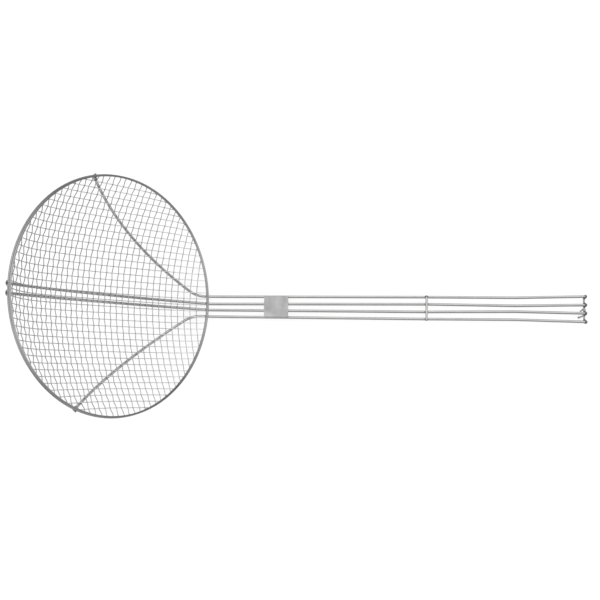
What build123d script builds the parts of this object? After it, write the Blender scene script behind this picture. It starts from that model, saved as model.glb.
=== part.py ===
from build123d import *
import math
import os

# Spider skimmer, in millimetres. A woven wire bowl hangs in a double round rim. Four long wires run under
# the bowl and on into the handle, where a plate, a cross bar and an end bar hold them side by side.
# Everything is first set out round the rim, with the rim flat: X points to the handle and Z out of the
# bowl. The whole tool is then laid down as it rests on a table, on its handle, with the bowl tipped up.

# Bowl
rim_outer_diameter = 240.0
bowl_depth = 40.0
rim_wire = 2.1
hem_wire = 2.0
hem_inset = 0.5

# Woven wire cloth
mesh_wire = 1.0
mesh_pitch = 6.9
mesh_edge_margin = 5.0
weft_shift = -1.0
cloth_draw_height = 850.0

# Frame wires under the bowl. They were welded by hand, so they lie a little to one side: shifts and bows
# are to the left of the bowl's middle, seen from the hook.
frame_wire = 3.0
centre_half_gap_far = 4.4
centre_half_gap_near = 3.4
centre_far_shift = -2.0
centre_bow = 2.8
left_side_far_angle = 106.0
left_side_bow = 0.9
left_side_corner_inset = 8.0
right_side_far_angle = 112.5
right_side_bow = -3.7
right_side_corner_inset = 12.0
side_corner_radius = 30.0
far_end_overhang = 1.8
foot_length = 4.0
foot_taper = 5.0
foot_width = 5.2
foot_thickness = 1.2
bend_straight = 2.0
bend_run_share = 0.98

# Handle
handle_angle = 55.0
handle_length = 400.0
handle_shift = -2.4
handle_bend_run = 5.0
handle_bend_radius = 12.0
spread_radius = 150.0
bar_from_end = 166.0
neck_from_end = 72.0
outer_half_gap_rim = 11.0
outer_half_gap_bar = 11.8
outer_half_gap_neck = 11.7
outer_half_gap_end = 13.4
inner_half_gap_bar = 4.1
inner_half_gap_neck = 3.1
inner_half_gap_end = 4.4

# Plate near the bowl
plate_place = 72.0
plate_length = 26.5
plate_width = 22.8
plate_shift = 0.7
plate_thickness = 1.0
plate_corner_radius = 0.8

# Cross bars
cross_bar_wire = 2.8
cross_bar_length = 24.2
cross_bar_shift = -0.4
end_bar_wire = 2.2
bar_end_chamfer = 0.5

# Hanging hook, with each corner placed from the middle of the end bar: on along the handle, to the left,
# and down from the bar. It leans to the right.
hook_wire = 1.8
hook_ball = 2.8
hook_root_reach = -3.8
hook_root_side = -2.2
hook_crown_reach = 2.2
hook_crown_side = 2.4
hook_low_side = -6.0
hook_low_drop = 10.8
hook_tip_reach = -2.9
hook_tip_side = -7.8
hook_tip_drop = 11.4
hook_crown_radius = 2.6
hook_low_radius = 3.2

# Clearance left at each weld
weld_gap = 0.05

rim_radius = (rim_outer_diameter - rim_wire) / 2
sphere_radius = (rim_radius**2 + bowl_depth**2) / (2 * bowl_depth)
sphere_centre = Vector(0, 0, sphere_radius - bowl_depth)
rim_polar = math.asin(rim_radius / sphere_radius)
rim_under = rim_wire / 2 + frame_wire / 2 + weld_gap
frame_sphere = sphere_radius + rim_under

# A four-sided section of the same area stands for the mesh wire's round one
mesh_side = mesh_wire * math.sqrt(math.pi) / 2
layer_offset = (mesh_side + weld_gap) / 2

bar_place = handle_length - bar_from_end
neck_place = handle_length - neck_from_end
handle_direction = Vector(math.cos(math.radians(handle_angle)), 0, math.sin(math.radians(handle_angle)))
handle_up = Vector(-handle_direction.Z, 0, handle_direction.X)


def hoop(wire, radius, height):
    """A closed round wire lying flat."""
    section = Plane.XZ * Pos(radius, height) * Circle(wire / 2)
    return revolve(section, Axis.Z)


def rim_wire_hoop():
    return hoop(rim_wire, rim_radius, 0)


def hem_wire_hoop():
    height = (rim_wire + hem_wire) / 2 + weld_gap
    return hoop(hem_wire, rim_radius - hem_inset, height)


def mesh_strand(across, layer_radius, place):
    """One bowl wire, in a plane that cuts the bowl's sphere at this distance from its middle."""
    polar = place / sphere_radius
    reach = sphere_radius * math.sin(polar)
    level = sphere_centre.Z - sphere_radius * math.cos(polar)
    lean = math.atan2(reach, cloth_draw_height - level)
    normal = across * math.cos(lean) + Vector(0, 0, math.sin(lean))
    down = across * math.sin(lean) - Vector(0, 0, math.cos(lean))
    along = normal.cross(down)
    offset = (cloth_draw_height - sphere_centre.Z) * math.sin(lean)
    arc_radius = math.sqrt(layer_radius**2 - offset**2)

    # The strand stops short of the rim wire by the weld gap, however slantwise it arrives there
    end_run = rim_wire / 2 + weld_gap + mesh_side / 2 * abs(reach) / rim_radius
    end_drop = layer_radius * math.cos(rim_polar - end_run / sphere_radius)
    half_turn = math.acos((end_drop + offset * math.sin(lean)) / (arc_radius * math.cos(lean)))

    start = down * math.cos(half_turn) - along * math.sin(half_turn)
    plane = Plane(origin=sphere_centre, x_dir=start, z_dir=start.cross(normal))
    outward = Vector(arc_radius, offset) / layer_radius
    sideways = Vector(-outward.Y, outward.X)
    middle = Vector(arc_radius, offset)
    half = mesh_side / 2
    corners = [
        middle + outward * half + sideways * half,
        middle - outward * half + sideways * half,
        middle - outward * half - sideways * half,
        middle + outward * half - sideways * half,
    ]
    section = plane * Polygon(*[(corner.X, corner.Y) for corner in corners], align=None)
    return revolve(section, Axis(sphere_centre, normal), revolution_arc=2 * math.degrees(half_turn))


def mesh_layer(across, layer_radius, shift):
    """All the bowl wires that run one way, out to the margin inside the rim."""
    reach = sphere_radius * rim_polar - mesh_edge_margin
    most = math.ceil(reach / mesh_pitch)
    places = [index * mesh_pitch + shift for index in range(-most, most + 1)]
    return [mesh_strand(across, layer_radius, place) for place in places if abs(place) <= reach]


def on_frame_sphere(x, y):
    """The point of the frame wires' sphere below this place of the rim's plane."""
    return Vector(x, y, sphere_centre.Z - math.sqrt(frame_sphere**2 - x**2 - y**2))


def climb(point, heading):
    """The direction along the frame wires' sphere at a point, for a level heading."""
    rise = (point.X * heading.X + point.Y * heading.Y) / (sphere_centre.Z - point.Z)
    return (heading + Vector(0, 0, rise)).normalized()


def tangent_point(outside, turning):
    """Where a line from a point outside the frame wires' sphere touches it, turned about this direction."""
    offset = (outside - sphere_centre).dot(turning)
    centre = sphere_centre + turning * offset
    ring = math.sqrt(frame_sphere**2 - offset**2)
    span = outside - centre
    turn = math.degrees(math.acos(ring / span.length))
    return centre + span.normalized().rotate(Axis(Vector(0, 0, 0), turning), turn) * ring


def handle_point(place, side, lift):
    """A point of the handle: along it from its bend, to the left of its middle, and above its wires."""
    across = Vector(0, handle_shift + side, 0)
    return handle_start + handle_direction * place + across + handle_up * lift


def to_handle_plane(point, direction):
    """Where a line meets the plane of the handle's wires."""
    return point + direction * ((handle_start - point).dot(handle_up) / direction.dot(handle_up))


rim_crossing = on_frame_sphere(frame_sphere * math.sin(rim_polar), 0)
handle_start = rim_crossing + climb(rim_crossing, Vector(1, 0, 0)) * handle_bend_run


def far_end(angle):
    """The plan place where a frame wire stops, just outside the rim."""
    reach = rim_radius + far_end_overhang
    return Vector(reach * math.cos(math.radians(angle)), reach * math.sin(math.radians(angle)))


def bowed_middle(far, near, bow):
    """The point of the frame wires' sphere halfway between two plan places, moved to the left."""
    heading = (near - far).normalized()
    middle = (far + near) / 2 + Vector(-heading.Y, heading.X) * bow
    return on_frame_sphere(middle.X, middle.Y)


def arc_plane(bowl_arc, place, thinned):
    """The plane across a bowl arc at a distance from its far end: X sideways, Y out of the bowl."""
    share = place / bowl_arc.length
    out = (bowl_arc @ share - sphere_centre).normalized()
    tangent = bowl_arc % share
    return Plane(origin=bowl_arc @ share - out * thinned, x_dir=tangent.cross(out), z_dir=tangent)


def flattened_foot(bowl_arc):
    """The pressed end of a frame wire, which is flat where it is welded to the outside of the rim wire."""
    thinned = (frame_wire - foot_thickness) / 2
    flat = Ellipse(foot_width / 2, foot_thickness / 2)
    end = arc_plane(bowl_arc, 0, thinned) * flat
    heel = arc_plane(bowl_arc, foot_length, thinned) * flat
    round_start = arc_plane(bowl_arc, foot_length + foot_taper, 0) * Circle(frame_wire / 2)
    return loft([end, heel, round_start], ruled=True)


def swept_wire(bowl_arc, corners, radii):
    """A wire with a flattened foot, round along the bowl arc and on through the corners of the handle."""
    round_share = (foot_length + foot_taper) / bowl_arc.length
    run = FilletPolyline(*corners, radius=radii)
    path = Wire([bowl_arc.trim(round_share, 1)] + list(run.edges()))
    section = arc_plane(bowl_arc, foot_length + foot_taper, 0) * Circle(frame_wire / 2)
    return flattened_foot(bowl_arc) + sweep(section, path=path)


def handle_corners(half_gaps, side):
    """The handle's corners after its bend, for one wire."""
    places = [bar_place, neck_place, handle_length]
    return [handle_point(place, side * half_gap, 0) for place, half_gap in zip(places, half_gaps)]


def centre_frame_wire(side):
    """One of the two wires under the middle of the bowl."""
    far_reach = rim_radius + far_end_overhang
    far = Vector(-far_reach, centre_far_shift + side * centre_half_gap_far)
    near = Vector(rim_crossing.X - handle_bend_run, handle_shift + side * centre_half_gap_near)
    near_point = on_frame_sphere(near.X, near.Y)
    arc = ThreePointArc(on_frame_sphere(far.X, far.Y), bowed_middle(far, near, centre_bow), near_point)
    bend = to_handle_plane(near_point, arc % 1)
    half_gaps = [inner_half_gap_bar, inner_half_gap_neck, inner_half_gap_end]
    corners = [near_point, bend] + handle_corners(half_gaps, side)
    return swept_wire(arc, corners, [handle_bend_radius, spread_radius, spread_radius])


def fitting_radius(radius, start, corner, end):
    """The radius of a bend, no larger than the straight run that leads to it allows."""
    half_turn = math.radians((corner - start).get_angle(end - corner)) / 2
    return min(radius, bend_run_share * (corner - start).length / math.tan(half_turn))


def side_frame_wire(side, far_angle, bow, corner_inset):
    """One of the two wires that turn aside under the near edge of the bowl."""
    far = far_end(side * far_angle)
    corner = Vector(rim_radius - corner_inset, handle_shift + side * outer_half_gap_rim)
    heading = (corner - far).normalized()
    forward = Vector(1, 0, 0)
    corner_below = on_frame_sphere(corner.X, corner.Y)
    turn = math.acos(climb(corner_below, heading).dot(climb(corner_below, forward)))
    run = side_corner_radius * math.tan(turn / 2) + bend_straight
    drop = math.sqrt(frame_sphere**2 + run**2 - corner.X**2 - corner.Y**2)
    outside = Vector(corner.X, corner.Y, sphere_centre.Z - drop)
    start = on_frame_sphere(far.X, far.Y)
    middle = bowed_middle(far, corner, bow)
    inner_touch = tangent_point(outside, (middle - outside).cross(start - middle).normalized())
    outer_touch = tangent_point(outside, Vector(0, -1, 0))
    arc = ThreePointArc(start, middle, inner_touch)
    bend = to_handle_plane(outside, (outer_touch - outside).normalized())
    half_gaps = [outer_half_gap_bar, outer_half_gap_neck, outer_half_gap_end]
    corners = [inner_touch, outside, bend] + handle_corners(half_gaps, side)
    corner_radius = fitting_radius(side_corner_radius, inner_touch, outside, bend)
    radii = [corner_radius, handle_bend_radius, spread_radius, spread_radius]
    return swept_wire(arc, corners, radii)


def left_side_frame_wire():
    return side_frame_wire(1, left_side_far_angle, left_side_bow, left_side_corner_inset)


def right_side_frame_wire():
    return side_frame_wire(-1, right_side_far_angle, right_side_bow, right_side_corner_inset)


def handle_plane(place, side, lift):
    """A plane on the handle: X along it, Z up from it."""
    return Plane(origin=handle_point(place, side, lift), x_dir=handle_direction, z_dir=handle_up)


def handle_plate():
    """The bare sheet metal plate on top of the handle wires."""
    outline = RectangleRounded(plate_length, plate_width, plate_corner_radius)
    seat = handle_plane(plate_place, plate_shift, frame_wire / 2 + weld_gap)
    return extrude(seat * outline, amount=plate_thickness)


def cross_wire(wire, length, place, side, lift):
    """A straight wire across the handle, with bevelled ends."""
    bar = Cylinder(wire / 2, length)
    bar = chamfer(bar.edges().filter_by(GeomType.CIRCLE), bar_end_chamfer)
    return Location(Plane(origin=handle_point(place, side, lift), z_dir=(0, 1, 0))) * bar


def middle_cross_bar():
    """The bar on top of the handle wires."""
    lift = (frame_wire + cross_bar_wire) / 2 + weld_gap
    return cross_wire(cross_bar_wire, cross_bar_length, bar_place, cross_bar_shift, lift)


end_bar_place = handle_length - end_bar_wire / 2
end_bar_lift = -(frame_wire + end_bar_wire) / 2 - weld_gap


def end_cross_bar():
    """The bar under the ends of the handle wires."""
    length = 2 * outer_half_gap_end + frame_wire
    return cross_wire(end_bar_wire, length, end_bar_place, 0, end_bar_lift)


def hook_point(reach, side, drop):
    """A point of the hook, from the middle of the end bar."""
    return handle_point(end_bar_place + reach, side, end_bar_lift - drop)


hook_tip = hook_point(hook_tip_reach, hook_tip_side, hook_tip_drop)


def hanging_hook():
    """A bent wire under the end bar that turns back below the handle and ends in a ball."""
    seat = (end_bar_wire + hook_wire) / 2 + weld_gap
    root = hook_point(hook_root_reach, hook_root_side, seat)
    crown = hook_point(hook_crown_reach, hook_crown_side, seat)
    low = hook_point(hook_crown_reach, hook_low_side, hook_low_drop)
    path = FilletPolyline(root, crown, low, hook_tip, radius=[hook_crown_radius, hook_low_radius])
    section = Plane(origin=path @ 0, z_dir=path % 0) * Circle(hook_wire / 2)
    return sweep(section, path=path) + Pos(hook_tip) * Sphere(hook_ball / 2)


towards_handle = Vector(1, 0, 0)
towards_left = Vector(0, 1, 0)
pieces = {
    "rim_wire": [rim_wire_hoop()],
    "hem_wire": [hem_wire_hoop()],
    "mesh_warp_wires": mesh_layer(towards_handle, sphere_radius + layer_offset, mesh_pitch / 2),
    "mesh_weft_wires": mesh_layer(towards_left, sphere_radius - layer_offset, weft_shift),
    "left_centre_frame_wire": [centre_frame_wire(1)],
    "right_centre_frame_wire": [centre_frame_wire(-1)],
    "left_side_frame_wire": [left_side_frame_wire()],
    "right_side_frame_wire": [right_side_frame_wire()],
    "handle_plate": [handle_plate()],
    "middle_cross_bar": [middle_cross_bar()],
    "end_cross_bar": [end_cross_bar()],
    "hanging_hook": [hanging_hook()],
}


# At rest the skimmer lies on the bend of its wires and on the ball of its hook, which is a little lower
# than the wires' underside
bend_end = handle_bend_radius * math.tan(math.radians(handle_angle) / 2 - rim_polar / 2)
hook_run = (hook_tip - handle_start).dot(handle_direction) - bend_end
hook_below = (handle_start - hook_tip).dot(handle_up) + hook_ball / 2 - frame_wire / 2
rest_tilt = handle_angle - math.degrees(math.atan(hook_below / hook_run))
laid_down = [Rot(0, rest_tilt, 0) * shape for shapes in pieces.values() for shape in shapes]
box = Compound(children=laid_down).bounding_box()
middle = (box.min + box.max) / 2
to_table = Pos(-middle.X, -middle.Y, -box.min.Z) * Rot(0, rest_tilt, 0)

os.makedirs("parts", exist_ok=True)
for name, shapes in pieces.items():
    solids = [to_table * solid for shape in shapes for solid in shape.solids()]
    export_step(Compound(children=solids) if len(solids) > 1 else solids[0], f"parts/{name}.step")
print("rest tilt", round(rest_tilt, 3), "box", box.size, "middle", middle, "lowest", box.min.Z)
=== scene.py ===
import math

import bpy
from mathutils import Matrix, Vector
from mathutils.bvhtree import BVHTree


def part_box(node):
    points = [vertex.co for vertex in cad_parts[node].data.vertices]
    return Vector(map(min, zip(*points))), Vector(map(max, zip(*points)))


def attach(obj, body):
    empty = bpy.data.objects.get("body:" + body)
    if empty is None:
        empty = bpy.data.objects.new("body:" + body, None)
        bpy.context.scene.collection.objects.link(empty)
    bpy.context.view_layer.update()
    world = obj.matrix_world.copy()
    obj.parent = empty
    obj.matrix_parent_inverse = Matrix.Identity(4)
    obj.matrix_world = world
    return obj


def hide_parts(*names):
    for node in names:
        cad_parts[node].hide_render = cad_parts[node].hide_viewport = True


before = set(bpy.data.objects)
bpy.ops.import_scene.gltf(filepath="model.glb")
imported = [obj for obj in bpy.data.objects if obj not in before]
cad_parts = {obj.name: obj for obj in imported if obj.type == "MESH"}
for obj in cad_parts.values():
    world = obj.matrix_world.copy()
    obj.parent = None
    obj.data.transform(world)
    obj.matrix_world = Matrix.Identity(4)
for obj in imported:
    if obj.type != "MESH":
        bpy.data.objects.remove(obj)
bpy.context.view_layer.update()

# Blender works in metres. Small sizes are written in millimetres
mm = 0.001

# The bowl, set out round its rim: X to the handle, Y to the left, Z out of the bowl
rim_wire = 2.1 * mm
bowl_depth = 40.0 * mm

# The woven wire cloth
cloth_wire = 0.9 * mm
cloth_pitch = 6.9 * mm
cloth_edge_margin = 5.0 * mm
warp_shift = 5.5 * mm
weft_shift = -1.0 * mm
cloth_draw_height = 850.0 * mm
warp_crimp = 0.62 * mm
weft_crimp = 0.22 * mm
crimp_sharpness = 0.93
crimp_fade = 2.5 * mm
cloth_step = 1.15 * mm
cloth_wander = 0.2 * mm
cloth_wander_size = 38.0 * mm
cloth_wire_sides = 8

# How far the cloth is pulled out of square, fitted to its lines as photographed. Each is the pull at the
# rim's distance from the middle, before the fade to the rim
pull_skew = -0.85 * mm
pull_bow_across = 1.73 * mm
pull_turn = 1.22 * mm
pull_bow_along = -2.02 * mm
pull_fan = 1.51 * mm
pull_bunch = 4.03 * mm
pull_fade = 6.0

# Weld beads, each by its radius. A bead sits where two wires come closest. Those of the outer feet are then
# moved in by an inset, and those of the near rim by a share of the way to the middle of the rim wire
left_foot_bead = 0.9 * mm
left_foot_inset = 2.3 * mm
centre_foot_bead = 1.6 * mm
right_foot_bead = 1.2 * mm
right_foot_inset = 1.3 * mm
near_rim_bead = 1.5 * mm
near_rim_rise_share = 0.5
bar_bead = 1.9 * mm
hook_bead = 1.2 * mm

# The beads that round the handle's wire ends, and the flares beside them on the end bar, each placed from
# where its wire and the bar come closest
wire_end_bead = 2.0 * mm
wire_end_bead_on = 0.75 * mm
wire_end_bead_up = 1.25 * mm
flare_bead = 1.2 * mm
flare_on = 0.35 * mm
flare_reach = 1.8 * mm
flare_drop = 0.65 * mm

# The stretches that are searched for where two wires come closest, on the rim in degrees from the handle
far_half_turns = (90.0, 270.0)
near_turns = (-20.0, 20.0)
turn_step = 0.1
bar_steps = 200

# The wires that carry the bowl and make the handle, from left to right
frame_wires = (
    "left_side_frame_wire",
    "left_centre_frame_wire",
    "right_centre_frame_wire",
    "right_side_frame_wire",
)

bead_detail = 4
bead_lump_detail = 1.0
bead_unevenness = 0.5
bead_lump_size = 1.4 * mm

# The photographer's view, in the part's frame
camera_place = Vector((28.089, -69.809, 905.381)) * mm
camera_forward = Vector((-0.061655, 0.083220, -0.994622))
camera_right = Vector((0.998055, 0.014288, -0.060672))
camera_lens = 49.910
camera_clip_end = 60.0
sensor_width = 36.0

# The studio
floor_reach = 20.0
floor_sides = 64
floor_drop = 0.2 * mm
wall_height = 3.9
floor_colour = (0.8, 0.8, 0.8)
floor_shadow_share = (0.2, 0.2, 0.2)
floor_glow = 0.86
sky_colour = (1.0, 1.0, 1.0)
sky_overhead = 0.95
sky_horizon = 0.42
sky_side = 0.24
sky_least = 0.2
key_place = Vector((0.1, 1.1, 1.5))
key_aim = Vector((0.0, 0.0, 0.1))
key_size = 2.0
key_power = 10.0

# Noise runs from 0 to 1 about this middle
noise_middle = 0.5

rim_low, rim_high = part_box("rim_wire")
rim_middle = (rim_low + rim_high) / 2
rim_radius = (rim_high.y - rim_low.y - rim_wire) / 2
bowl_tilt = math.atan2(rim_high.z - rim_low.z - rim_wire, rim_high.x - rim_low.x - rim_wire)
bowl_place = Matrix.Translation(rim_middle) @ Matrix.Rotation(bowl_tilt, 4, "Y")
sphere_radius = (rim_radius**2 + bowl_depth**2) / (2 * bowl_depth)
sphere_height = sphere_radius - bowl_depth
rim_polar = math.asin(rim_radius / sphere_radius)


class Bench:
    """Adds and joins the nodes of one tree."""

    def __init__(self, tree):
        self.tree = tree

    def add(self, kind, **settings):
        node = self.tree.nodes.new(kind)
        for name, value in settings.items():
            setattr(node, name, value)
        return node

    def feed(self, socket, value):
        if isinstance(value, bpy.types.NodeSocket):
            self.tree.links.new(value, socket)
        else:
            socket.default_value = value

    def calc(self, operation, *values):
        node = self.add("ShaderNodeMath", operation=operation)
        for socket, value in zip(node.inputs, values):
            self.feed(socket, value)
        return node.outputs[0]

    def product(self, *values):
        result = values[0]
        for value in values[1:]:
            result = self.calc("MULTIPLY", result, value)
        return result

    def total(self, *values):
        result = values[0]
        for value in values[1:]:
            result = self.calc("ADD", result, value)
        return result

    def split(self, vector):
        node = self.add("ShaderNodeSeparateXYZ")
        self.feed(node.inputs[0], vector)
        return node.outputs[0], node.outputs[1], node.outputs[2]

    def join(self, x, y, z):
        node = self.add("ShaderNodeCombineXYZ")
        for socket, value in zip(node.inputs, (x, y, z)):
            self.feed(socket, value)
        return node.outputs[0]


def new_shape_tree(name, inputs):
    """The bench of a new geometry tree, and the tree's inputs by name."""
    tree = bpy.data.node_groups.new(name, "GeometryNodeTree")
    tree.interface.new_socket("Geometry", in_out="INPUT", socket_type="NodeSocketGeometry")
    for label, kind in inputs:
        tree.interface.new_socket(label, in_out="INPUT", socket_type=kind)
    tree.interface.new_socket("Geometry", in_out="OUTPUT", socket_type="NodeSocketGeometry")
    bench = Bench(tree)
    group_input = bench.add("NodeGroupInput")
    return bench, group_input.outputs


def finish_shape_tree(bench, geometry, material):
    """Ends a tree in a smooth, realized mesh of one material."""
    smooth = bench.add("GeometryNodeSetShadeSmooth")
    bench.feed(smooth.inputs["Geometry"], geometry)
    realized = bench.add("GeometryNodeRealizeInstances")
    bench.feed(realized.inputs["Geometry"], smooth.outputs[0])
    finished = bench.add("GeometryNodeSetMaterial")
    bench.feed(finished.inputs["Geometry"], realized.outputs[0])
    bench.feed(finished.inputs["Material"], material)
    group_output = bench.add("NodeGroupOutput")
    bench.feed(group_output.inputs["Geometry"], finished.outputs[0])


def shaped_by(tree, name, values, start_mesh=None):
    """A plain mesh piece made by a geometry tree with these values for its named inputs."""
    mesh = start_mesh or bpy.data.meshes.new(name + "_start")
    source = bpy.data.objects.new(name + "_source", mesh)
    bpy.context.scene.collection.objects.link(source)
    modifier = source.modifiers.new("Shape", "NODES")
    modifier.node_group = tree
    identifiers = {item.name: item.identifier for item in tree.interface.items_tree if item.in_out == "INPUT"}
    for label, value in values.items():
        modifier[identifiers[label]] = value
    depsgraph = bpy.context.evaluated_depsgraph_get()
    shaped = bpy.data.meshes.new_from_object(source.evaluated_get(depsgraph), depsgraph=depsgraph)
    source.modifiers.remove(modifier)
    bpy.data.objects.remove(source)
    shaped.name = name
    piece = bpy.data.objects.new(name, shaped)
    bpy.context.scene.collection.objects.link(piece)
    return piece


def steel(name, colour, dull_colour, roughness, grain_size, grain_stretch):
    """Bare stainless steel with soft clouds and a fine grain, which a stretch draws out into lines."""
    material = bpy.data.materials.new(name)
    material.use_nodes = True
    bench = Bench(material.node_tree)
    nodes = material.node_tree.nodes
    shader = nodes["Principled BSDF"]
    shader.inputs["Metallic"].default_value = 1.0
    place = bench.add("ShaderNodeTexCoord").outputs["Object"]

    cloud = bench.add("ShaderNodeTexNoise")
    bench.feed(cloud.inputs["Vector"], place)
    cloud.inputs["Scale"].default_value = 1 / cloud_size
    cloud.inputs["Detail"].default_value = cloud_detail
    tint = bench.add("ShaderNodeMix", data_type="RGBA")
    bench.feed(tint.inputs["Factor"], cloud.outputs["Fac"])
    tint.inputs["A"].default_value = (*dull_colour, 1)
    tint.inputs["B"].default_value = (*colour, 1)
    bench.feed(shader.inputs["Base Color"], tint.outputs["Result"])

    stretch = bench.add("ShaderNodeMapping")
    bench.feed(stretch.inputs["Vector"], place)
    stretch.inputs["Scale"].default_value = grain_stretch
    grain = bench.add("ShaderNodeTexNoise")
    bench.feed(grain.inputs["Vector"], stretch.outputs["Vector"])
    grain.inputs["Scale"].default_value = 1 / grain_size
    grain.inputs["Detail"].default_value = grain_detail
    spread = bench.add("ShaderNodeMapRange")
    bench.feed(spread.inputs["Value"], grain.outputs["Fac"])
    spread.inputs["To Min"].default_value = roughness - roughness_spread
    spread.inputs["To Max"].default_value = roughness + roughness_spread
    bench.feed(shader.inputs["Roughness"], spread.outputs["Result"])
    bump = bench.add("ShaderNodeBump")
    bench.feed(bump.inputs["Height"], grain.outputs["Fac"])
    bump.inputs["Strength"].default_value = grain_bump
    bump.inputs["Distance"].default_value = grain_size * grain_depth_share
    bench.feed(shader.inputs["Normal"], bump.outputs["Normal"])
    return material


def shaded_along(material, bench, measure, start, end, start_share, end_share):
    """Paints shade into a steel's colour, scaling it by how far a measure of the place on it has gone from
    start to end.
    """
    colour = material.node_tree.nodes["Principled BSDF"].inputs["Base Color"]
    # The steel's colour before the painted shade
    unshaded_colour = colour.links[0].from_socket
    share = bench.add("ShaderNodeMapRange")
    bench.feed(share.inputs["Value"], measure)
    share.inputs["From Min"].default_value = start
    share.inputs["From Max"].default_value = end
    share.inputs["To Min"].default_value = start_share
    share.inputs["To Max"].default_value = end_share
    shaded = bench.add("ShaderNodeVectorMath", operation="SCALE")
    bench.feed(shaded.inputs[0], unshaded_colour)
    bench.feed(shaded.inputs["Scale"], share.outputs["Result"])
    bench.feed(colour, shaded.outputs[0])


def painted_shade_to_sides(material, lean, full_shade_beyond, full_shade_share):
    """Paints shade into a steel's colour: darker away from a line through the rim's middle that leans from
    the handle's line.
    """
    bench = Bench(material.node_tree)
    along, left, _ = bench.split(bench.add("ShaderNodeTexCoord").outputs["Object"])
    line = bench.product(bench.calc("SUBTRACT", along, rim_middle.x), lean)
    off_line = bench.calc("ABSOLUTE", bench.calc("SUBTRACT", left, line))
    shaded_along(material, bench, off_line, 0.0, full_shade_beyond, 1.0, full_shade_share)


def painted_shade_to_far_rim(material, far_share, near_share):
    """Paints light and shade into a steel's colour: darker towards the far rim, lighter towards the near one.
    """
    bench = Bench(material.node_tree)
    along, _, _ = bench.split(bench.add("ShaderNodeTexCoord").outputs["Object"])
    shaded_along(material, bench, along, rim_low.x, rim_high.x, far_share, near_share)


def grey(level):
    return level, level, level


# Each steel has its colour, the duller colour of its clouds, its roughness, and the size and stretch of its
# grain
cloud_size = 14.0 * mm
cloud_detail = 4.0
grain_detail = 3.0
grain_bump = 0.15
grain_depth_share = 0.2
roughness_spread = 0.07
along_handle = (0.06, 1.0, 1.0)
every_way = (1.0, 1.0, 1.0)
wire_grain = 0.6 * mm
cloth_grain = 0.4 * mm
plate_grain = 0.5 * mm
# The rim's painted shade: its colour darkens away from a leaning line through the rim's middle, down to a
# share of it beyond a distance
rim_line_lean = 0.65
rim_full_shade_beyond = 118.0 * mm
rim_full_shade_share = 0.29
# The cloth's painted shade and light: its colour is scaled down at the far rim and up at the near rim
cloth_far_painted_shade_share = 0.75
cloth_near_painted_light_share = 1.15

bright_wire = steel("bright_drawn_wire", grey(0.47), grey(0.38), 0.22, wire_grain, along_handle)
rim_steel = steel("rim_wire_steel", grey(0.64), grey(0.50), 0.20, wire_grain, every_way)
# Painted shade on the rim wires: darker towards the sides, away from the leaning line
painted_shade_to_sides(rim_steel, rim_line_lean, rim_full_shade_beyond, rim_full_shade_share)
warp_steel = steel("warp_wire_steel", grey(0.52), grey(0.40), 0.30, cloth_grain, every_way)
# The weft is the warp's steel painted lighter: a painted reflection of the brighter light on its wires
painted_light_weft_steel = steel("weft_wire_painted_light", grey(0.74), grey(0.60), 0.30, cloth_grain, every_way)
# Painted shade at the far rim and painted light at the near rim, on both layers of the cloth
painted_shade_to_far_rim(warp_steel, cloth_far_painted_shade_share, cloth_near_painted_light_share)
painted_shade_to_far_rim(painted_light_weft_steel, cloth_far_painted_shade_share, cloth_near_painted_light_share)
plate_steel = steel("satin_plate_steel", grey(0.66), grey(0.18), 0.42, plate_grain, along_handle)
weld_steel = steel("weld_bead_steel", (0.20, 0.195, 0.19), (0.12, 0.115, 0.11), 0.40, plate_grain, every_way)
bar_steel = steel("cross_bar_steel", grey(0.68), grey(0.56), 0.20, wire_grain, every_way)


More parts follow.
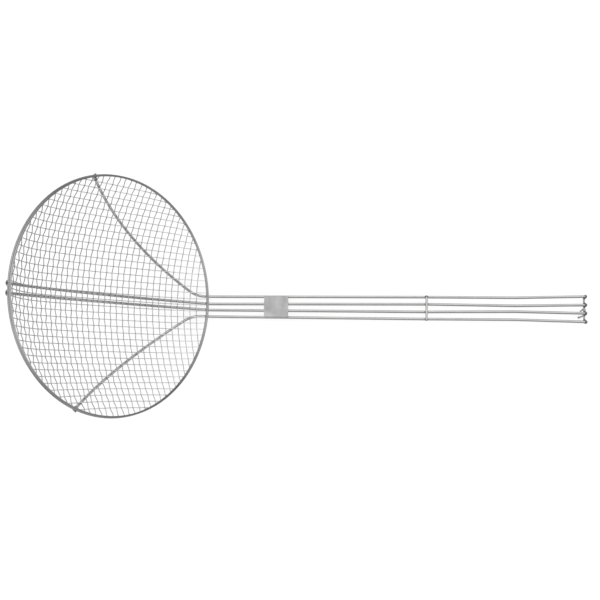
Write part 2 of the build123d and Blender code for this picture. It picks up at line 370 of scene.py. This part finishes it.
def cloth_tree():
    """Crimped wires that run one way over the bowl, set out round its rim.

    Each wire starts as a straight line: its X is the wire's number and its Y the angle along its arc.
    """
    bench, sizes = new_shape_tree("woven_wires", [
        ("Wires", "NodeSocketInt"),
        ("First Wire", "NodeSocketFloat"),
        ("Pitch", "NodeSocketFloat"),
        ("Shift", "NodeSocketFloat"),
        ("Crossing Shift", "NodeSocketFloat"),
        ("Sphere Radius", "NodeSocketFloat"),
        ("Sphere Height", "NodeSocketFloat"),
        ("Rim Polar", "NodeSocketFloat"),
        ("Draw Height", "NodeSocketFloat"),
        ("Wire Diameter", "NodeSocketFloat"),
        ("Wire Sides", "NodeSocketInt"),
        ("Crimp", "NodeSocketFloat"),
        ("Crimp Sharpness", "NodeSocketFloat"),
        ("Crimp Fade", "NodeSocketFloat"),
        ("Step", "NodeSocketFloat"),
        ("Wander", "NodeSocketFloat"),
        ("Wander Size", "NodeSocketFloat"),
        ("Pull Skew", "NodeSocketFloat"),
        ("Pull Bow Across", "NodeSocketFloat"),
        ("Pull Turn", "NodeSocketFloat"),
        ("Pull Bow Along", "NodeSocketFloat"),
        ("Pull Fan", "NodeSocketFloat"),
        ("Pull Bunch", "NodeSocketFloat"),
        ("Pull Fade", "NodeSocketFloat"),
        ("Runs To Handle", "NodeSocketBool"),
        ("Material", "NodeSocketMaterial"),
    ])
    calc = bench.calc
    radius = sizes["Sphere Radius"]
    draw = sizes["Draw Height"]

    def wire_plane(number):
        """How a wire's plane leans, how far it is from the sphere's centre, its arc and half its turn."""
        place = calc("MULTIPLY_ADD", number, sizes["Pitch"], sizes["Shift"])
        polar = calc("DIVIDE", place, radius)
        reach = calc("MULTIPLY", radius, calc("SINE", polar))
        fall = calc("MULTIPLY_ADD", radius, calc("COSINE", polar), draw)
        lean = calc("ARCTAN2", reach, fall)
        offset = calc("MULTIPLY", draw, calc("SINE", lean))
        square = calc("SUBTRACT", calc("MULTIPLY", radius, radius), calc("MULTIPLY", offset, offset))
        arc = calc("SQRT", square)
        rim_fall = calc("MULTIPLY", radius, calc("COSINE", sizes["Rim Polar"]))
        end_fall = calc("MULTIPLY_ADD", offset, calc("SINE", lean), rim_fall)
        half_turn = calc("ARCCOSINE", calc("DIVIDE", end_fall, calc("MULTIPLY", arc, calc("COSINE", lean))))
        return lean, offset, arc, half_turn

    start = bench.join(sizes["First Wire"], 0.0, 0.0)
    row = bench.add("GeometryNodeMeshLine")
    bench.feed(row.inputs["Count"], sizes["Wires"])
    bench.feed(row.inputs["Start Location"], start)
    bench.feed(row.inputs["Offset"], (1.0, 0.0, 0.0))
    number, _, _ = bench.split(bench.add("GeometryNodeInputPosition").outputs[0])
    half_turn = wire_plane(number)[3]
    unit = bench.add("GeometryNodeCurvePrimitiveLine")
    bench.feed(unit.inputs["Start"], (0.0, -1.0, 0.0))
    bench.feed(unit.inputs["End"], (0.0, 1.0, 0.0))
    wires = bench.add("GeometryNodeInstanceOnPoints")
    bench.feed(wires.inputs["Points"], row.outputs["Mesh"])
    bench.feed(wires.inputs["Instance"], unit.outputs["Curve"])
    bench.feed(wires.inputs["Scale"], bench.join(1.0, half_turn, 1.0))
    lines = bench.add("GeometryNodeRealizeInstances")
    bench.feed(lines.inputs["Geometry"], wires.outputs["Instances"])
    divided = bench.add("GeometryNodeResampleCurve", mode="LENGTH")
    bench.feed(divided.inputs["Curve"], lines.outputs["Geometry"])
    bench.feed(divided.inputs["Length"], calc("DIVIDE", sizes["Step"], radius))

    along, turn, _ = bench.split(bench.add("GeometryNodeInputPosition").outputs[0])
    number = calc("ROUND", along)
    lean, offset, arc, half_turn = wire_plane(number)
    lean_sine = calc("SINE", lean)
    lean_cosine = calc("COSINE", lean)
    down = calc("MULTIPLY", arc, calc("COSINE", turn))
    across_part = calc("ADD", calc("MULTIPLY", offset, lean_cosine), calc("MULTIPLY", down, lean_sine))
    along_part = calc("MULTIPLY", arc, calc("SINE", turn))
    fall = calc("SUBTRACT", calc("MULTIPLY", down, lean_cosine), calc("MULTIPLY", offset, lean_sine))

    # The number of the crossing wire here tells how far through its crimp this wire is
    other_lean = calc("ARCTAN2", along_part, calc("ADD", draw, fall))
    swing = calc("ARCSINE", calc("DIVIDE", calc("MULTIPLY", draw, calc("SINE", other_lean)), radius))
    other_place = calc("MULTIPLY", radius, calc("ADD", other_lean, swing))
    other_number = calc("DIVIDE", calc("SUBTRACT", other_place, sizes["Crossing Shift"]), sizes["Pitch"])
    wave = calc("COSINE", calc("MULTIPLY", other_number, math.pi))
    sharp = sizes["Crimp Sharpness"]
    ridge = calc("DIVIDE", calc("ARCSINE", calc("MULTIPLY", wave, sharp)), calc("ARCSINE", sharp))
    turn_about = calc("COSINE", calc("MULTIPLY", number, math.pi))
    from_end = calc("MULTIPLY", calc("SUBTRACT", half_turn, calc("ABSOLUTE", turn)), radius)
    fade = calc("MINIMUM", calc("DIVIDE", from_end, sizes["Crimp Fade"]), 1.0)
    lift = bench.product(sizes["Crimp"], turn_about, ridge, fade)
    swell = calc("ADD", calc("DIVIDE", lift, radius), 1.0)

    swap = sizes["Runs To Handle"]
    plan = []
    for plain, swapped in ((across_part, along_part), (along_part, across_part)):
        pick = bench.add("GeometryNodeSwitch", input_type="FLOAT")
        bench.feed(pick.inputs["Switch"], swap)
        bench.feed(pick.inputs["False"], plain)
        bench.feed(pick.inputs["True"], swapped)
        plan.append(pick.outputs[0])

    # Both layers are pulled by one smooth field that dies out at the rim
    rim_reach = calc("MULTIPLY", radius, calc("SINE", sizes["Rim Polar"]))
    out = calc("DIVIDE", plan[0], rim_reach)
    side = calc("DIVIDE", plan[1], rim_reach)
    edge = calc("SQRT", calc("ADD", bench.product(out, out), bench.product(side, side)))
    hold = calc("SUBTRACT", 1.0, calc("MINIMUM", calc("POWER", edge, sizes["Pull Fade"]), 1.0))
    out_pull = bench.total(
        bench.product(sizes["Pull Skew"], side),
        bench.product(sizes["Pull Bow Across"], side, side),
    )
    side_pull = bench.total(
        bench.product(sizes["Pull Turn"], out),
        bench.product(sizes["Pull Bow Along"], out, out),
        bench.product(sizes["Pull Fan"], out, side),
        bench.product(sizes["Pull Bunch"], side, side),
    )
    plan[0] = calc("MULTIPLY_ADD", hold, out_pull, plan[0])
    plan[1] = calc("MULTIPLY_ADD", hold, side_pull, plan[1])
    plan_square = calc("ADD", bench.product(plan[0], plan[0]), bench.product(plan[1], plan[1]))
    pulled_fall = calc("SQRT", calc("SUBTRACT", bench.product(radius, radius), plan_square))
    level = calc("SUBTRACT", sizes["Sphere Height"], calc("MULTIPLY", pulled_fall, swell))
    placed = bench.join(calc("MULTIPLY", plan[0], swell), calc("MULTIPLY", plan[1], swell), level)

    # Both layers wander together, because one field moves them
    noise = bench.add("ShaderNodeTexNoise")
    bench.feed(noise.inputs["Vector"], placed)
    bench.feed(noise.inputs["Scale"], calc("DIVIDE", 1.0, sizes["Wander Size"]))
    bench.feed(noise.inputs["Detail"], 0.0)
    centred = bench.add("ShaderNodeVectorMath", operation="SUBTRACT")
    bench.feed(centred.inputs[0], noise.outputs["Color"])
    bench.feed(centred.inputs[1], (noise_middle, noise_middle, noise_middle))
    moved = bench.add("ShaderNodeVectorMath", operation="SCALE")
    bench.feed(moved.inputs[0], centred.outputs[0])
    bench.feed(moved.inputs["Scale"], bench.product(sizes["Wander"], fade, 1 / noise_middle))
    wandered = bench.add("ShaderNodeVectorMath", operation="ADD")
    bench.feed(wandered.inputs[0], placed)
    bench.feed(wandered.inputs[1], moved.outputs[0])

    bent = bench.add("GeometryNodeSetPosition")
    bench.feed(bent.inputs["Geometry"], divided.outputs["Curve"])
    bench.feed(bent.inputs["Position"], wandered.outputs[0])
    section = bench.add("GeometryNodeCurvePrimitiveCircle")
    bench.feed(section.inputs["Resolution"], sizes["Wire Sides"])
    bench.feed(section.inputs["Radius"], calc("DIVIDE", sizes["Wire Diameter"], 2.0))
    solid = bench.add("GeometryNodeCurveToMesh")
    bench.feed(solid.inputs["Curve"], bent.outputs["Geometry"])
    bench.feed(solid.inputs["Profile Curve"], section.outputs["Curve"])
    bench.feed(solid.inputs["Fill Caps"], True)
    finish_shape_tree(bench, solid.outputs["Mesh"], sizes["Material"])
    return bench.tree


def cloth_wires(tree, name, material, shift, crossing_shift, crimp, to_handle):
    """All the wires of the bowl that run one way."""
    reach = sphere_radius * rim_polar - cloth_edge_margin
    first = math.ceil((-reach - shift) / cloth_pitch)
    last = math.floor((reach - shift) / cloth_pitch)
    piece = shaped_by(tree, name, {
        "Wires": last - first + 1,
        "First Wire": float(first),
        "Pitch": cloth_pitch,
        "Shift": shift,
        "Crossing Shift": crossing_shift,
        "Sphere Radius": sphere_radius,
        "Sphere Height": sphere_height,
        "Rim Polar": rim_polar,
        "Draw Height": cloth_draw_height - sphere_height,
        "Wire Diameter": cloth_wire,
        "Wire Sides": cloth_wire_sides,
        "Crimp": crimp,
        "Crimp Sharpness": crimp_sharpness,
        "Crimp Fade": crimp_fade,
        "Step": cloth_step,
        "Wander": cloth_wander,
        "Wander Size": cloth_wander_size,
        "Pull Skew": pull_skew,
        "Pull Bow Across": pull_bow_across,
        "Pull Turn": pull_turn,
        "Pull Bow Along": pull_bow_along,
        "Pull Fan": pull_fan,
        "Pull Bunch": pull_bunch,
        "Pull Fade": pull_fade,
        "Runs To Handle": to_handle,
        "Material": material,
    })
    piece.data.transform(bowl_place)
    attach(piece, "root")
    return piece


def woven_cloth():
    tree = cloth_tree()
    warp = cloth_wires(tree, "woven_warp", warp_steel, warp_shift, weft_shift, warp_crimp, False)
    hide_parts("mesh_warp_wires")
    weft = cloth_wires(tree, "woven_weft", painted_light_weft_steel, weft_shift, warp_shift, -weft_crimp, True)
    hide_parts("mesh_weft_wires")


woven_cloth()


def weld_tree():
    """A lumpy bead at each point of the start mesh, whose bead_radius attribute is its radius."""
    bench, sizes = new_shape_tree("weld_beads", [
        ("Bead Detail", "NodeSocketInt"),
        ("Lump Size", "NodeSocketFloat"),
        ("Unevenness", "NodeSocketFloat"),
        ("Material", "NodeSocketMaterial"),
    ])
    bead = bench.add("GeometryNodeMeshIcoSphere")
    bench.feed(bead.inputs["Radius"], 1.0)
    bench.feed(bead.inputs["Subdivisions"], sizes["Bead Detail"])
    radius = bench.add("GeometryNodeInputNamedAttribute", data_type="FLOAT")
    bench.feed(radius.inputs["Name"], "bead_radius")
    beads = bench.add("GeometryNodeInstanceOnPoints")
    bench.feed(beads.inputs["Points"], sizes["Geometry"])
    bench.feed(beads.inputs["Instance"], bead.outputs["Mesh"])
    bench.feed(beads.inputs["Scale"], bench.join(*[radius.outputs["Attribute"]] * 3))
    solid = bench.add("GeometryNodeRealizeInstances")
    bench.feed(solid.inputs["Geometry"], beads.outputs["Instances"])
    lumps = bench.add("ShaderNodeTexNoise")
    bench.feed(lumps.inputs["Scale"], bench.calc("DIVIDE", 1.0, sizes["Lump Size"]))
    bench.feed(lumps.inputs["Detail"], bead_lump_detail)
    rise = bench.calc("SUBTRACT", lumps.outputs["Fac"], noise_middle)
    normal = bench.add("GeometryNodeInputNormal").outputs[0]
    push = bench.add("ShaderNodeVectorMath", operation="SCALE")
    bench.feed(push.inputs[0], normal)
    bench.feed(push.inputs["Scale"], bench.product(rise, sizes["Unevenness"], sizes["Lump Size"]))
    lumpy = bench.add("GeometryNodeSetPosition")
    bench.feed(lumpy.inputs["Geometry"], solid.outputs["Geometry"])
    bench.feed(lumpy.inputs["Offset"], push.outputs[0])
    finish_shape_tree(bench, lumpy.outputs["Geometry"], sizes["Material"])
    return bench.tree


def weld_beads(tree, name, beads):
    """One piece with a bead for each of these places and radii."""
    mesh = bpy.data.meshes.new(name + "_places")
    mesh.from_pydata([place for place, radius in beads], [], [])
    radii = mesh.attributes.new("bead_radius", "FLOAT", "POINT")
    for item, (place, radius) in zip(radii.data, beads):
        item.value = radius
    piece = shaped_by(tree, name, {
        "Bead Detail": bead_detail,
        "Lump Size": bead_lump_size,
        "Unevenness": bead_unevenness,
        "Material": weld_steel,
    }, mesh)
    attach(piece, "root")


def rim_line(turns):
    """Points along the middle of the rim wire, between two turns about the bowl's middle."""
    first, last = turns
    steps = round((last - first) / turn_step)
    angles = [math.radians(first + step * turn_step) for step in range(steps + 1)]
    return [bowl_place @ Vector((rim_radius * math.cos(a), rim_radius * math.sin(a), 0)) for a in angles]


def bar_line(bar):
    """Points along the middle of a cross bar."""
    low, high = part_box(bar)
    middle = (low + high) / 2
    reach = (high.y - low.y) / bar_steps
    return [Vector((middle.x, low.y + reach * step, middle.z)) for step in range(bar_steps + 1)]


def closest_place(line, node, share=0.0):
    """Where a wire's surface comes closest to a line, moved on towards the line by a share of the gap."""
    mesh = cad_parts[node].data
    corners = [vertex.co for vertex in mesh.vertices]
    surface = BVHTree.FromPolygons(corners, [face.vertices for face in mesh.polygons])
    hits = [(surface.find_nearest(point), point) for point in line]
    (place, _, _, _), point = min(hits, key=lambda hit: hit[0][3])
    return place.lerp(point, share)


def foot_bead(wire, radius, inset):
    """The weld of a frame wire's foot on the far rim, moved in towards the middle of the rim."""
    place = closest_place(rim_line(far_half_turns), wire)
    return place + (rim_middle - place).normalized() * inset, radius


def far_rim_beads():
    return [
        foot_bead("left_side_frame_wire", left_foot_bead, left_foot_inset),
        foot_bead("left_centre_frame_wire", centre_foot_bead, 0.0),
        foot_bead("right_centre_frame_wire", centre_foot_bead, 0.0),
        foot_bead("right_side_frame_wire", right_foot_bead, right_foot_inset),
    ]


def near_rim_beads():
    """The welds where the frame wires pass under the near rim."""
    line = rim_line(near_turns)
    return [(closest_place(line, wire, near_rim_rise_share), near_rim_bead) for wire in frame_wires]


def middle_bar_beads():
    line = bar_line("middle_cross_bar")
    return [(closest_place(line, wire), bar_bead) for wire in frame_wires]


def end_bar_beads():
    """A rounded end on each wire, flares beside them on the end bar, and the hook's weld."""
    line = bar_line("end_cross_bar")
    places = [closest_place(line, wire) for wire in frame_wires]
    rounded_end = Vector((wire_end_bead_on, 0, wire_end_bead_up))
    beads = [(place + rounded_end, wire_end_bead) for place in places]
    for left, right in zip(places, places[1:]):
        beads.append((left + Vector((flare_on, -flare_reach, -flare_drop)), flare_bead))
        beads.append((right + Vector((flare_on, flare_reach, -flare_drop)), flare_bead))
    beads.append((closest_place(line, "hanging_hook"), hook_bead))
    return beads


bead_tree = weld_tree()
weld_beads(bead_tree, "far_rim_welds", far_rim_beads())
weld_beads(bead_tree, "near_rim_welds", near_rim_beads())
weld_beads(bead_tree, "middle_bar_welds", middle_bar_beads())
weld_beads(bead_tree, "end_bar_welds", end_bar_beads())

node_finishes = {
    "rim_wire": rim_steel,
    "hem_wire": rim_steel,
    "left_centre_frame_wire": bright_wire,
    "right_centre_frame_wire": bright_wire,
    "left_side_frame_wire": bright_wire,
    "right_side_frame_wire": bright_wire,
    "handle_plate": plate_steel,
    "middle_cross_bar": bar_steel,
    "end_cross_bar": bright_wire,
    "hanging_hook": bright_wire,
}
for node, finish in node_finishes.items():
    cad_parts[node].data.materials.clear()
    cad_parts[node].data.materials.append(finish)


def white_floor():
    """A plain pale floor with a low wall far off, which shows white and keeps a soft shadow."""
    mesh = bpy.data.meshes.new("floor")
    turns = [2 * math.pi * step / floor_sides for step in range(floor_sides)]
    edge = [(floor_reach * math.cos(turn), floor_reach * math.sin(turn)) for turn in turns]
    corners = [(x, y, -floor_drop) for x, y in edge] + [(x, y, wall_height) for x, y in edge]
    wall = [(step, step + floor_sides, (step + 1) % floor_sides + floor_sides, (step + 1) % floor_sides)
            for step in range(floor_sides)]
    mesh.from_pydata(corners, [], [tuple(range(floor_sides))] + wall)
    floor = bpy.data.objects.new("floor", mesh)
    bpy.context.scene.collection.objects.link(floor)
    material = bpy.data.materials.new("white_floor")
    material.use_nodes = True
    nodes = material.node_tree.nodes
    nodes.clear()
    bench = Bench(material.node_tree)
    rays = bench.add("ShaderNodeLightPath")
    seen = bench.calc("MAXIMUM", rays.outputs["Is Camera Ray"], rays.outputs["Is Glossy Ray"])
    seen = bench.calc("MAXIMUM", seen, rays.outputs["Is Transmission Ray"])
    plain = bench.add("ShaderNodeBsdfDiffuse")
    plain.inputs["Color"].default_value = (*floor_colour, 1)
    shaded = bench.add("ShaderNodeBsdfDiffuse")
    shaded.inputs["Color"].default_value = (*floor_shadow_share, 1)
    glow = bench.add("ShaderNodeEmission")
    glow.inputs["Strength"].default_value = floor_glow
    white = bench.add("ShaderNodeAddShader")
    bench.feed(white.inputs[0], shaded.outputs[0])
    bench.feed(white.inputs[1], glow.outputs[0])
    mix = bench.add("ShaderNodeMixShader")
    bench.feed(mix.inputs["Fac"], seen)
    bench.feed(mix.inputs[1], plain.outputs[0])
    bench.feed(mix.inputs[2], white.outputs[0])
    output = bench.add("ShaderNodeOutputMaterial")
    bench.feed(output.inputs["Surface"], mix.outputs[0])
    mesh.materials.append(material)


def studio_sky():
    """Soft light from all round, brighter overhead and from the left side of the handle."""
    world = bpy.data.worlds.new("studio")
    bpy.context.scene.world = world
    world.use_nodes = True
    nodes = world.node_tree.nodes
    bench = Bench(world.node_tree)
    direction = bench.add("ShaderNodeTexCoord").outputs["Generated"]
    _, left, up = bench.split(direction)
    above = bench.calc("MAXIMUM", up, 0.0)
    level = bench.calc("MULTIPLY_ADD", above, sky_overhead - sky_horizon, sky_horizon)
    level = bench.calc("MULTIPLY_ADD", left, sky_side, level)
    nodes["Background"].inputs["Color"].default_value = (*sky_colour, 1)
    bench.feed(nodes["Background"].inputs["Strength"], bench.calc("MAXIMUM", level, sky_least))


def soft_box(name, place, aim, size, power):
    light = bpy.data.lights.new(name, "AREA")
    light.shape = "SQUARE"
    light.size = size
    light.energy = power
    lamp = bpy.data.objects.new(name, light)
    lamp.location = place
    lamp.rotation_euler = (aim - place).to_track_quat("-Z", "Y").to_euler()
    bpy.context.scene.collection.objects.link(lamp)


def photo_camera():
    data = bpy.data.cameras.new("camera")
    data.sensor_width = sensor_width
    data.lens = camera_lens
    data.clip_end = camera_clip_end
    camera = bpy.data.objects.new("camera", data)
    back = -camera_forward.normalized()
    right = (camera_right - back * camera_right.dot(back)).normalized()
    up = back.cross(right)
    turn = Matrix((right, up, back)).transposed().to_4x4()
    camera.matrix_world = Matrix.Translation(camera_place) @ turn
    bpy.context.scene.collection.objects.link(camera)
    bpy.context.scene.camera = camera


white_floor()
studio_sky()
soft_box("key_light", key_place, key_aim, key_size, key_power)
photo_camera()
bpy.context.scene.view_settings.view_transform = "Standard"
